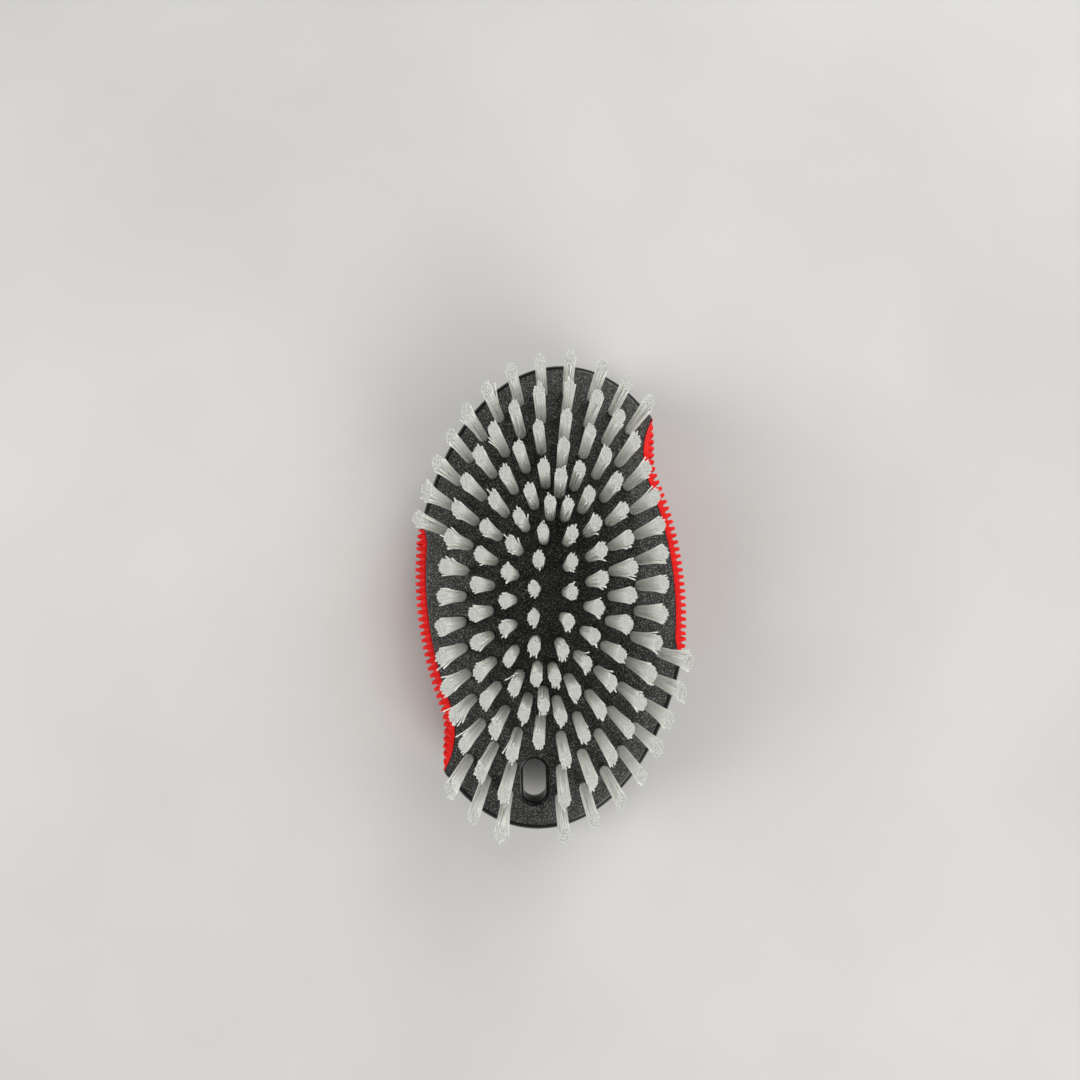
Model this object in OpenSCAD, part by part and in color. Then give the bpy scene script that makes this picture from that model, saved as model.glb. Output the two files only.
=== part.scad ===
// Palm-held bristle brush: domed two-part oval body, two ribbed side grips,
// five rings of staple-set nylon tufts and a hanging slot.
// Millimetres. The back rests on z = 0 and the bristles point to +Z.
// The body and its tuft pattern are the same when turned half a turn about Z.

/* [Body] */
// Half length of the core oval that the edge of the body runs parallel to
core_half_length = 43.7; // [42.5:0.1:45]
// Half width of the core oval
core_half_width = 20.9; // [20:0.1:22]
// Distance from the core oval out to the edge of the body
edge_margin = 13.4; // [12.8:0.1:14]
// Lean of the rings and the grips away from the Y axis, in degrees
oval_lean = 5.7; // [4:0.1:7]
// How much further the edge of the body leans, in degrees
edge_turn = 0.7; // [0:0.1:1.2]
// Height of the crown of the bristle face above the back
crown_height = 21; // [20:0.5:24]
// Height of the seam between the back shell and the bristle plate
seam_height = 10.5; // [9.5:0.1:11]
// Wall of the back shell
shell_wall = 3; // [2.6:0.1:3.4]

/* [Domes] */
// Radius of the bristle face across the brush
face_radius_x = 115; // [110:1:130]
// Radius of the bristle face along the brush
face_radius_y = 270; // [250:5:320]
// Radius of the back across the brush
back_radius_x = 78; // [74:1:100]
// Radius of the back along the brush
back_radius_y = 190; // [185:5:225]
// How much of the back dome is cut away to leave the flat it rests on
rest_cut = 0.9; // [0.6:0.1:1.2]

/* [Tufts] */
// Length of the tufts above the face
tuft_length = 16.4; // [12:0.1:20]
// Diameter of a tuft where it leaves the face
tuft_base_d = 2.6; // [2.3:0.05:2.6]
// Diameter of a tuft at its trimmed end
tuft_tip_d = 3.2; // [2.5:0.05:3.4]
// Diameter of the tuft holes
hole_d = 2.7; // [2.65:0.05:2.9]
// Depth of the tuft holes
hole_depth = 4.2; // [3.8:0.1:4.4]
// Height of the flat wire anchors
anchor_height = 1.5; // [1:0.1:1.8]
// Thickness of the flat wire anchors
anchor_thickness = 0.45; // [0.35:0.05:0.6]

/* [Grips] */
// Radius of the long outward curve of a grip recess
waist_radius = 85.9; // [84:0.1:87.5]
// Radius of the short hollow curve at the waist
hollow_radius = 18.8; // [17.5:0.1:20]
// Width of the smooth band on the top of a grip
grip_band = 1.9; // [1.6:0.05:2]
// Height of the grip ribs
rib_height = 0.75; // [0.5:0.05:0.9]
// Number of ribs on each grip
rib_count = 31; // [24:1:34]
// Height of the top of the grips above the back
grip_top = 16.3; // [14.5:0.1:16.5]

/* [Hanging slot] */
// Width of the slot in the bristle face
slot_width = 5.5; // [5:0.1:6]
// Length of the slot in the bristle face
slot_length = 10.5; // [9:0.1:11]
// How much wider the slot is in the back shell, each side
slot_relief = 0.6; // [0.3:0.1:0.7]

/* [Hidden] */

tau = 0.01;
cut = 1;
slot_pos = [-4.65, -44.9];
slot_wall = 1.3;

// Rings from the outside in: tip distance, half width, fullness, places in half a ring.
// A fullness of 0.5 is an ellipse and 1 is a pointed lens.
ring_a = [49.6, 28.2, 0.46, 20];
ring_b = [43.3, 21.2, 0.50, 17];
ring_c = [36.6, 14.6, 0.55, 14];
ring_d = [30.2, 9.1, 0.78, 11];
ring_e = [23.5, 3.6, 0.85, 8];
// The outer ring keeps only the places on the two lobes
lobe_first = -8;
lobe_last = 3;

// Grip recess, in the leaning frame
waist_centre = [-54.9, -9.8];
join_angle = 26.4;
hollow_centre = waist_centre
    + (waist_radius + hollow_radius) * [cos(join_angle), sin(join_angle)];
low_end = -8.8;
end_slope = [0.95, -3.5];
low_angle = asin((low_end - waist_centre[1]) / waist_radius);
hollow_end = 145;
ribs_end = 157;
hollow_start = 180 + join_angle;
run_1 = (waist_radius + grip_band) * (join_angle - low_angle) * PI / 180;
run_2 = (hollow_radius - grip_band) * (hollow_start - ribs_end) * PI / 180;
rib_pitch = (run_1 + run_2) / rib_count;
outer_reach = 45;
grip_round = 1;
face_step = 0.1;
grip_overrun = 5;
rib_width = rib_pitch * 0.55;
rib_drop = 0.1;
rib_round = 0.4;

// Tongue that clamps each grip between the shell and the plate
tongue_depth = 1.6;
tongue_height = 1.5;
tongue_from = 0.12;
tongue_to = 0.80;

// Locating lip and posts
fit_gap = 0.1;
lip_wall = 1.5;
lip_height = 2;
post_d = 5;
post_wall = 1.6;
post_places = [[11, 23], [-11, 23], [-11, -23], [11, -23]];
post_foot = 6;
boss_top = seam_height - 1;
pocket_top = 13;
pocket_inset = 6;

// How far the domes are drawn: down from the crown, along and to each side
dome_depth = 18;
dome_reach = 62;
dome_half_width = 40;

outline_steps = 96;
arc_steps = 14;
ring_steps = 60;
tuft_sides = 32;

// Point of the curve parallel to the core oval, along the oval's own axes
function oval(t, grow) =
    let (a = core_half_length, b = core_half_width)
    let (d = norm([b * cos(t), a * sin(t)]))
    [b * sin(t) + grow * a * sin(t) / d, a * cos(t) + grow * b * cos(t) / d];

// The leaning frame turned back to the X and Y axes
function lean(p) = [
    p[0] * cos(oval_lean) + p[1] * sin(oval_lean),
    p[1] * cos(oval_lean) - p[0] * sin(oval_lean)
];

// Point of a ring
function ring_point(r, t) = [r[1] * pow(max(0, sin(t)), 2 * r[2]), r[0] * cos(t)];

// Length along a ring against the angle, as pairs for lookup()
function ring_table(r) = [
    for (
        i = 0, s = 0;
        i <= ring_steps;
        i = i + 1,
        s = s + norm(ring_point(r, 180 * i / ring_steps)
            - ring_point(r, 180 * (i - 1) / ring_steps))
    ) [s, 180 * i / ring_steps]
];

// Place j of a ring, counted from its tip; negative places lie on the other side
function ring_place(r, table, j) =
    let (total = table[ring_steps][0])
    let (p = ring_point(r, lookup(total * abs(j) / r[3], table)))
    lean([j < 0 ? -p[0] : p[0], p[1]]);

// Places first to last of a ring; side is 1, or -1 for the half-turn copy.
// The slot takes the tip places of the three outer rings at its end.
function half_ring(r, first, last, side, slotted) =
    let (table = ring_table(r))
    [for (j = [first:last]) if (j != 0 || !slotted) side * ring_place(r, table, j)];

places_a_upper = half_ring(ring_a, lobe_first, lobe_last, 1, false);
places_a_lower = half_ring(ring_a, lobe_first, lobe_last, -1, true);
places_b_right = half_ring(ring_b, 0, ring_b[3] - 1, 1, false);
places_b_left = half_ring(ring_b, 0, ring_b[3] - 1, -1, true);
places_c_right = half_ring(ring_c, 0, ring_c[3] - 1, 1, false);
places_c_left = half_ring(ring_c, 0, ring_c[3] - 1, -1, true);
places_d_right = half_ring(ring_d, 0, ring_d[3] - 1, 1, false);
places_d_left = half_ring(ring_d, 0, ring_d[3] - 1, -1, false);
places_e_right = half_ring(ring_e, 0, ring_e[3] - 1, 1, false);
places_e_left = half_ring(ring_e, 0, ring_e[3] - 1, -1, false);

// Point on the side curve of a grip, a run s from the low end and w outside the recess
function side_point(s, w) =
    s < run_1
    ? let (a = low_angle + (join_angle - low_angle) * s / run_1)
        waist_centre + (waist_radius + w) * [cos(a), sin(a)]
    : let (a = hollow_start - (s - run_1) / (hollow_radius - grip_band) * 180 / PI)
        hollow_centre + (hollow_radius - w) * [cos(a), sin(a)];

// The frame of a point on the bristle face, with Z along the tuft
module on_face(p) {
    theta = asin(p[0] / face_radius_x);
    arm = face_radius_y - face_radius_x + face_radius_x * cos(theta);
    phi = asin(p[1] / arm);
    translate([0, 0, crown_height - face_radius_y])
    rotate([-phi, 0, 0])
    translate([0, 0, face_radius_y - face_radius_x])
    rotate([0, theta, 0])
    translate([0, 0, face_radius_x])
    children();
}

// Dome with its crown at the origin
module dome(rx, ry) {
    half_angle = asin(dome_reach / (ry - dome_depth));
    translate([0, 0, -ry])
    rotate([0, -90, 0])
    rotate([0, 0, -half_angle])
    rotate_extrude(angle = 2 * half_angle, $fn = 360)
    intersection() {
        translate([ry - rx, 0])
        circle(r = rx, $fn = 240);
        translate([ry - dome_depth, -dome_half_width])
        square([dome_depth + cut, 2 * dome_half_width]);
    }
}

// Outline of the body without the grip recesses, in the leaning frame
module oval_2d(grow) {
    rotate(-edge_turn)
    polygon([for (i = [0:outline_steps - 1]) oval(360 * i / outline_steps, grow)]);
}

// Recess for the grip on the +X side, deepened by w
module recess_2d(w) {
    a0 = asin((low_end - w - waist_centre[1]) / (waist_radius - w));
    low = [for (i = [0:arc_steps])
        let (a = a0 + (join_angle - a0) * i / arc_steps)
        waist_centre + (waist_radius - w) * [cos(a), sin(a)]];
    high = [for (i = [1:arc_steps])
        let (a = hollow_start + (hollow_end - hollow_start) * i / arc_steps)
        hollow_centre + (hollow_radius + w) * [cos(a), sin(a)]];
    top = high[arc_steps - 1];
    polygon(concat(
        [[outer_reach, low[0][1] + end_slope[1]], low[0] + end_slope],
        low,
        high,
        [[outer_reach, top[1]]]
    ));
}

// Outline of the body, drawn in by w
module body_2d(w) {
    rotate(-oval_lean)
    difference() {
        oval_2d(edge_margin - w);
        recess_2d(w);
        rotate(180) recess_2d(w);
    }
}

// Tongue of the grip on the +X side
module tongue_2d(depth) {
    run = run_1 + run_2;
    steps = 16;
    line = [for (i = [0:steps]) run * (tongue_from + (tongue_to - tongue_from) * i / steps)];
    rotate(-oval_lean)
    polygon(concat(
        [for (s = line) side_point(s, tau)],
        [for (i = [0:steps]) side_point(line[steps - i], -depth)]
    ));
}

// Slot with rounded ends, made smaller all round by w
module slot_2d(w) {
    half = (slot_length - slot_width) / 2;
    translate(slot_pos)
    union() {
        translate([0, half]) circle(d = slot_width - 2 * w, $fn = 48);
        translate([0, -half]) circle(d = slot_width - 2 * w, $fn = 48);
        square([slot_width - 2 * w, 2 * half], center = true);
    }
}

// Everything above the domed back, drawn in by w
module back_form(w) {
    translate([0, 0, w - rest_cut])
    mirror([0, 0, 1])
    dome(back_radius_x - w, back_radius_y - w);
}

// Section of a grip, w wide outside the recess, with its top edge rounded by edge.
// The outside is towards +X when dir is 1 and towards -X when dir is -1.
module grip_section(dir, radius, w, top, edge) {
    translate([radius, 0])
    scale([dir, 1])
    union() {
        translate([-tongue_depth, 0]) square([tongue_depth + w - edge, top]);
        translate([-tongue_depth, 0]) square([tongue_depth + w, top - edge]);
        translate([w - edge, top - edge]) circle(r = edge, $fn = 48);
    }
}

// The section swept along the side curve of a grip between two runs. Both curves are
// drawn from the join, so that they meet exactly on its plane.
module grip_sweep(s0, s1, w, top, edge) {
    back_turn = (join_angle - low_angle) / run_1;
    on_turn = 180 / PI / (hollow_radius - grip_band);
    translate(waist_centre)
    rotate(join_angle)
    translate([waist_radius, 0])
    union() {
        if (s0 < run_1) {
            near = (run_1 - min(s1, run_1)) * back_turn;
            translate([-waist_radius, 0])
            mirror([0, 1, 0])
            rotate(near)
            rotate_extrude(angle = (run_1 - s0) * back_turn - near, $fn = 360)
            grip_section(1, waist_radius, w, top, edge);
        }
        if (s1 > run_1) {
            near = (max(s0, run_1) - run_1) * on_turn;
            translate([hollow_radius, 0])
            mirror([1, 0, 0])
            rotate(near)
            rotate_extrude(angle = (s1 - run_1) * on_turn - near, $fn = 360)
            grip_section(-1, hollow_radius, w, top, edge);
        }
    }
}

// Band and ribs of the grip on the +X side, before it is cut to the recess
module grip_form() {
    grip_sweep(-grip_overrun, run_1 + run_2 + grip_overrun, grip_band, grip_top, grip_round);
    for (i = [-2:rib_count]) {
        mid = (i + 0.5) * rib_pitch;
        near = mid - rib_width / 2;
        far = mid + rib_width / 2;
        // A rib is drawn whole on one side of the join
        s0 = mid < run_1 ? near : max(near, run_1 + tau);
        s1 = mid < run_1 ? min(far, run_1 - tau) : far;
        grip_sweep(s0, s1, grip_band + rib_height, grip_top - rib_drop, rib_round);
    }
}

module tuft_holes(places) {
    for (p = places) {
        on_face(p)
        translate([0, 0, -hole_depth])
        cylinder(h = hole_depth + cut, d = hole_d, $fn = tuft_sides);
    }
}

module tuft_set(places) {
    slope = (tuft_tip_d - tuft_base_d) / tuft_length;
    for (p = places) {
        on_face(p)
        translate([0, 0, -hole_depth])
        difference() {
            cylinder(
                h = hole_depth + tuft_length,
                d1 = tuft_base_d - slope * hole_depth,
                d2 = tuft_tip_d,
                $fn = tuft_sides
            );
            translate([-2, -anchor_thickness / 2, -cut])
            cube([4, anchor_thickness, anchor_height + cut]);
        }
    }
}

module anchor_set(places) {
    for (p = places) {
        on_face(p)
        translate([-tuft_base_d * 0.46, -anchor_thickness / 2, -hole_depth])
        cube([tuft_base_d * 0.92, anchor_thickness, anchor_height]);
    }
}

// Hollow back shell with bosses and a sleeve round the slot
module back_shell() {
    color([0.07, 0.07, 0.08])
    difference() {
        intersection() {
            linear_extrude(height = seam_height) body_2d(0);
            back_form(0);
        }
        difference() {
            intersection() {
                translate([0, 0, shell_wall - rest_cut])
                linear_extrude(height = seam_height) body_2d(shell_wall);
                back_form(shell_wall);
            }
            linear_extrude(height = seam_height) slot_2d(-slot_relief - slot_wall);
            for (p = post_places) {
                translate([p[0], p[1], 0])
                cylinder(h = boss_top, d = post_d + 2 * post_wall, $fn = 32);
            }
        }
        translate([0, 0, -cut])
        linear_extrude(height = seam_height + 2 * cut) slot_2d(-slot_relief);
        for (p = post_places) {
            translate([p[0], p[1], post_foot])
            cylinder(h = seam_height, d = post_d, $fn = 32);
        }
        for (turn = [0, 180]) {
            rotate(turn)
            translate([0, 0, seam_height - tongue_height])
            linear_extrude(height = tongue_height + cut) tongue_2d(tongue_depth + fit_gap);
        }
    }
}

// Domed plate that carries the tufts, with a locating lip and posts below
module bristle_plate() {
    color([0.10, 0.10, 0.11])
    difference() {
        union() {
            intersection() {
                translate([0, 0, seam_height])
                linear_extrude(height = crown_height) body_2d(0);
                translate([0, 0, crown_height])
                dome(face_radius_x, face_radius_y);
            }
            difference() {
                intersection() {
                    translate([0, 0, seam_height - lip_height])
                    linear_extrude(height = lip_height + tau) body_2d(shell_wall + fit_gap);
                    back_form(shell_wall + fit_gap);
                }
                translate([0, 0, seam_height - lip_height - cut])
                linear_extrude(height = lip_height + cut) body_2d(shell_wall + lip_wall);
                translate([0, 0, seam_height - lip_height - cut])
                linear_extrude(height = lip_height + cut)
                slot_2d(-slot_relief - slot_wall - fit_gap);
            }
        }
        difference() {
            translate([0, 0, seam_height - cut])
            linear_extrude(height = pocket_top - seam_height + cut)
            rotate(-oval_lean) oval_2d(-pocket_inset);
            for (p = post_places) {
                translate([p[0], p[1], 0])
                cylinder(h = crown_height, d = post_d, $fn = 32);
            }
        }
        translate([0, 0, seam_height - cut])
        linear_extrude(height = crown_height) slot_2d(0);
        tuft_holes(places_a_upper);
        tuft_holes(places_a_lower);
        tuft_holes(places_b_right);
        tuft_holes(places_b_left);
        tuft_holes(places_c_right);
        tuft_holes(places_c_left);
        tuft_holes(places_d_right);
        tuft_holes(places_d_left);
        tuft_holes(places_e_right);
        tuft_holes(places_e_left);
    }
    color([0.10, 0.10, 0.11])
    for (p = post_places) {
        translate([p[0], p[1], post_foot])
        cylinder(h = pocket_top - post_foot, d = post_d, $fn = 32);
    }
}

module grip(turn) {
    color([0.86, 0.08, 0.09])
    rotate(turn)
    union() {
        intersection() {
            rotate(-oval_lean) grip_form();
            rotate(-oval_lean)
            linear_extrude(height = grip_top + cut)
            intersection() {
                recess_2d(0);
                oval_2d(edge_margin);
            }
            back_form(0);
            translate([0, 0, crown_height - face_step])
            dome(face_radius_x, face_radius_y);
        }
        translate([0, 0, seam_height - tongue_height])
        linear_extrude(height = tongue_height) tongue_2d(tongue_depth);
    }
}

module right_grip() {
    grip(0);
}

module left_grip() {
    grip(180);
}

module tufts(places) {
    color([0.94, 0.95, 0.96]) tuft_set(places);
}

module anchors(places) {
    color([0.72, 0.74, 0.76]) anchor_set(places);
}

back_shell();
bristle_plate();
right_grip();
left_grip();
tufts(places_a_upper);  // tufts_a_upper
tufts(places_a_lower);  // tufts_a_lower
tufts(places_b_right);  // tufts_b_right
tufts(places_b_left);  // tufts_b_left
tufts(places_c_right);  // tufts_c_right
tufts(places_c_left);  // tufts_c_left
tufts(places_d_right);  // tufts_d_right
tufts(places_d_left);  // tufts_d_left
tufts(places_e_right);  // tufts_e_right
tufts(places_e_left);  // tufts_e_left
anchors(places_a_upper);  // anchors_a_upper
anchors(places_a_lower);  // anchors_a_lower
anchors(places_b_right);  // anchors_b_right
anchors(places_b_left);  // anchors_b_left
anchors(places_c_right);  // anchors_c_right
anchors(places_c_left);  // anchors_c_left
anchors(places_d_right);  // anchors_d_right
anchors(places_d_left);  // anchors_d_left
anchors(places_e_right);  // anchors_e_right
anchors(places_e_left);  // anchors_e_left
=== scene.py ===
import math

import bmesh
import bpy
import numpy as np
from mathutils import Matrix, Vector
from mathutils.geometry import delaunay_2d_cdt


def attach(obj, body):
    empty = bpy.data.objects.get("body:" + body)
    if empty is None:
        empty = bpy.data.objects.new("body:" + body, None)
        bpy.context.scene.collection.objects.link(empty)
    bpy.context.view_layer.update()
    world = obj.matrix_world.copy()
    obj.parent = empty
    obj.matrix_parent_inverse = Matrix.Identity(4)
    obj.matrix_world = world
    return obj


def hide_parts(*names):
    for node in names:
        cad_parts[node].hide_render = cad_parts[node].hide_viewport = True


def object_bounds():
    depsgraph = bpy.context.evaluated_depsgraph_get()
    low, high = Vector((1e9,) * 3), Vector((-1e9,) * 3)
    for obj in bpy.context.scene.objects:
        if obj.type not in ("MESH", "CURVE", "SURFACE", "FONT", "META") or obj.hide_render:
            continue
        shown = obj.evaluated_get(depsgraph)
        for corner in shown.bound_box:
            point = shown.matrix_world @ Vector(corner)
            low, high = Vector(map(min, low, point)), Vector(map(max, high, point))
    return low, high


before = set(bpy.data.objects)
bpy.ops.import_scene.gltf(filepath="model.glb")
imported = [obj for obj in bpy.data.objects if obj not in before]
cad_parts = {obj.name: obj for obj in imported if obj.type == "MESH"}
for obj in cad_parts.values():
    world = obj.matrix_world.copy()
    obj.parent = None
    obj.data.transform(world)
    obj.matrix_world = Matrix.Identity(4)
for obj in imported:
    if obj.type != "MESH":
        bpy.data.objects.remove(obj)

# Shapes are worked out in millimetres in the row frame and scaled once, when a mesh is made.
MM = 0.001
cad_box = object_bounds()

# ---------------------------------------------------------------- driving sizes, in mm
CORE_A, CORE_B = 43.7, 20.9          # half length and half width of the core oval
EDGE = 13.4                          # from the core oval out to the edge of the body
LEAN = math.radians(5.7)             # the rings and grips lean this far off the Y axis
EDGE_TURN = math.radians(0.7)        # and the edge of the body this much further
CROWN = 21.0                         # top of the bristle face
SEAM = 10.5                          # joint between shell and plate
FACE_RX, FACE_RY = 115.0, 270.0      # radii of the bristle face
BACK_RX, BACK_RY = 78.0, 190.0       # radii of the back
REST_CUT = 0.9                       # the back dome is cut flat by this much
SHELL_WALL = 3.0
REST_WALL_SHARE = 0.7                # share of that wall left over the flat that it rests on

HOLE_R, HOLE_DEPTH = 1.35, 4.25
HOLE_LIP = 0.08
HOLE_SIDES = 18
TUFT_LENGTH = 16.0
TUFT_ROOT_DEPTH = 2.5

SLOT = (-4.65, -44.9)
SLOT_W, SLOT_L = 5.5, 10.5
SLOT_RELIEF = 0.6                    # the slot is this much wider in the shell, each side
SLOT_LIP = 0.75
SLEEVE_WALL = 1.3
HOLLOW_LEAST = 0.4                   # depth of the shell's hollow where it runs out

# The recess for the grip on the +X side, in the leaning frame
WAIST_C, WAIST_R = (-54.9, -9.8), 85.9    # centre and radius of its long curve
HOLLOW_R = 18.8                      # radius of the hollow curve that follows it
JOIN = math.radians(26.4)            # direction from that centre to where the two meet
LOW_END = -8.8                       # place along Y at which the long curve starts
END_SLOPE = (0.95, -3.5)             # from the curve's low end to the corner of the recess
FLAT_REACH = 4.0                     # the low end runs out flat from there, at most this far
HOLLOW_TO = math.radians(140)        # the hollow curve is drawn to this angle and cut at the oval
GRIP_TOP = 16.3
FACE_STEP = 0.1                      # a grip's top lies at least this far below the face
GRIP_FLAT = 0.9                      # flat band on top
GRIP_GAP, GRIP_WHOLE = 1.9, 2.65     # width at the gaps between the ribs and over the ribs
# Shoulders of a rib and of a gap: how far beyond the flat band, and how far down
RIB_SHOULDER = ((0.25, 0.0), (0.65, 0.02), (1.1, 0.06), (1.5, 0.18), (1.75, 0.45))
GAP_SHOULDER = ((0.16, 0.12), (0.38, 0.45), (0.62, 1.0), (0.85, 1.8), (1.0, 2.6))
GRIP_SINK = 0.12                     # a grip is sunk this far into the recess, so no slit shows
GRIP_LIFT = 0.25                     # and its foot lies this far above the back
GRIP_KNEE, GRIP_FOOT = 1.0, 0.9      # height and rounding of its lower edge
# Down the side: share of the drop, and how far the gaps are filled there
SKIRT_STEPS = ((0.12, 0.45), (0.3, 0.85), (0.6, 1.0), (0.9, 1.0))
GRIP_BEVEL = 0.05                    # of its inner top edge
FLAT_LEAST, DROP_LEAST = 0.08, 0.3   # least width of the flat band, least share of the shoulders' drop
FOOT_SHARE = 0.4                     # the foot's rounding takes up at most this share of the width
FOOT_STEPS = np.radians([0, 35, 65, 90])
# A grip stops this short of the corner of its recess and of the recess's upper end
GRIP_CLEAR_LOW, GRIP_CLEAR_HIGH = 0.05, 0.1
ROOM_REACH, ROOM_STEPS = 4.5, 91     # how far out from the recess the oval is looked for
ROOM_BLUR = 13                       # and over how many sections what is found is evened out
SHARE_LEAST = 0.06                   # a grip gets no thinner than this share of its width
SQUARE_RUN = 2.0                     # the low end turns square to the edge over this length
RIB_PITCH = 1.73
RIB_SAMPLES = 16                     # sections of a grip in one pitch
RIB_SQUARE, RIB_WIDER = 4.0, 0.15    # how square the ribs are, and how much wider than the gaps
TOP_RUN = 9.0                        # a grip's width runs out over this length at its upper end
SKIRT_FROM = (24, 31)                # the gaps between the ribs are filled from here upwards

RIM_ROUND = 1.4
GRIP_RIM = 0.28                      # rounding of the edge beside the grips
RIM_BLEND = (3, 1)                   # it changes between these distances before and after a grip
BACK_ROUND = 1.8
SEAM_GROOVE = 0.22
HOLLOW_DRAFT = 0.3                   # the wall of the shell's hollow leans in by this much
QUARTER = np.radians([0, 15, 30, 45, 60, 75, 90])     # steps round an edge
LIP_STEPS = np.radians([90, 70, 50, 30, 15, 0])       # and round the slot's lips, in the face
BACK_LIP_STEPS = np.radians([0, 20, 40, 60, 80, 90])  # and in the back
FACE_GRID, BACK_GRID, HOLLOW_GRID, SEAM_GRID = 1.5, 2.0, 3.0, 6    # spacing of inner points
OUTLINE_POINTS = 840
FINE_POINTS = 6000                   # of the outline before it is thinned out
RIM_POINTS = 4001                    # of half the oval edge
RING_POINTS = 1201                   # of half a ring of tufts
# Points along the parts of half the outline
OVAL_STEPS, FLAT_STEPS, SLOPE_STEPS, WAIST_STEPS, HOLLOW_STEPS = 500, 20, 30, 300, 150
NORMAL_REACH = 0.15                  # a normal is taken from points this far to either side
HALVINGS = 40                        # of the stretch in which a crossing is looked for
POINTS_AT_ONCE = 1500                # in the tests against loops, to save memory
TRIANGLE_ROW = 0.866                 # rows of an even triangular grid, as a share of its spacing
CORNER_BLUR = 0.4                    # softens the corners of the outline
INNER_BLUR = 3.0                     # and much more so inside the shell

# Rings from the outside in: tip distance, half width, fullness, places in half a ring
RINGS = {
    "a": (49.6, 28.2, 0.46, 20),
    "b": (43.3, 21.2, 0.50, 17),
    "c": (36.6, 14.6, 0.55, 14),
    "d": (30.2, 9.1, 0.78, 11),
    "e": (23.5, 3.6, 0.85, 8),
}
LOBE_FIRST, LOBE_LAST = -8, 3        # the outer ring keeps only these places
SLOTTED = "abc"                      # rings that lose a tip place to the slot


def fade(value, start, end):
    """0 before start, 1 past end and smooth between; end may be the lower of the two."""
    f = np.clip((value - start) / (end - start), 0, 1)
    return f * f * (3 - 2 * f)


# ---------------------------------------------------------------- surfaces
def face_z(x, y):
    """Height of the bristle face."""
    arm = FACE_RY - FACE_RX + np.sqrt(FACE_RX**2 - np.square(x))
    return CROWN - FACE_RY + np.sqrt(np.square(arm) - np.square(y))


def back_z(x, y, inset=0.0):
    """Height of the domed back, or of the surface parallel to it inside the shell."""
    rx, ry = BACK_RX - inset, BACK_RY - inset
    arm = ry - rx + np.sqrt(rx**2 - np.square(x))
    z = inset - REST_CUT + ry - np.sqrt(np.square(arm) - np.square(y))
    return np.maximum(z, inset * REST_WALL_SHARE)


def face_frame(x, y):
    """A point on the face and the axes there: two along the face, one along the tuft."""
    theta = math.asin(x / FACE_RX)
    phi = math.asin(y / (FACE_RY - FACE_RX + FACE_RX * math.cos(theta)))
    turn = Matrix.Rotation(-phi, 3, "X") @ Matrix.Rotation(theta, 3, "Y")
    return np.array([x, y, float(face_z(x, y))]), np.array(turn)


def lean(points):
    """From the leaning frame of the ovals to the row frame."""
    c, s = math.cos(LEAN), math.sin(LEAN)
    points = np.asarray(points, float)
    return np.stack([points[..., 0] * c + points[..., 1] * s,
                     points[..., 1] * c - points[..., 0] * s], -1)


def oval(t, grow):
    """Curve parallel to the core oval, in the leaning frame; t = 0 is the upper tip."""
    d = np.hypot(CORE_B * np.cos(t), CORE_A * np.sin(t))
    x = CORE_B * np.sin(t) + grow * CORE_A * np.sin(t) / d
    y = CORE_A * np.cos(t) + grow * CORE_B * np.cos(t) / d
    c, s = math.cos(EDGE_TURN), math.sin(EDGE_TURN)
    return np.stack([x * c + y * s, y * c - x * s], -1)


# The oval edge on the +X side, and the direction of each of its points from the middle
RIM_T = np.linspace(0, math.pi, RIM_POINTS)
RIM = oval(RIM_T, EDGE)
RIM_POLAR = np.unwrap(np.arctan2(RIM[:, 0], RIM[:, 1]))


def outside(points, grow=0.0):
    """How far points on the +X side lie outside the oval edge, measured from the middle."""
    r = np.interp(np.arctan2(points[..., 0], points[..., 1]), RIM_POLAR, np.hypot(*RIM.T))
    return np.hypot(points[..., 0], points[..., 1]) - r - grow


def crossing(curve):
    """Where a curve given by an (s -> point) function leaves the oval edge, s from 0 to 1."""
    lo, hi = 0.0, 1.0
    for _ in range(HALVINGS):
        mid = (lo + hi) / 2
        if outside(curve(mid)) < 0:
            lo = mid
        else:
            hi = mid
    return lo


def resample(loop, count):
    """A closed loop as count evenly spaced points, and its length."""
    pts = np.vstack([loop, loop[:1]])
    s = np.r_[0, np.cumsum(np.hypot(*np.diff(pts, axis=0).T))]
    u = np.linspace(0, s[-1], count + 1)[:-1]
    return np.stack([np.interp(u, s, pts[:, 0]), np.interp(u, s, pts[:, 1])], -1), s[-1]


def blur_loop(loop, sigma, length):
    """Rounds the corners of a closed, evenly spaced loop."""
    freq = np.fft.fftfreq(len(loop), length / len(loop))
    keep = np.exp(-2 * (math.pi * sigma * freq) ** 2)
    return np.stack([np.fft.ifft(np.fft.fft(loop[:, k]) * keep).real for k in (0, 1)], -1)


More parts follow.
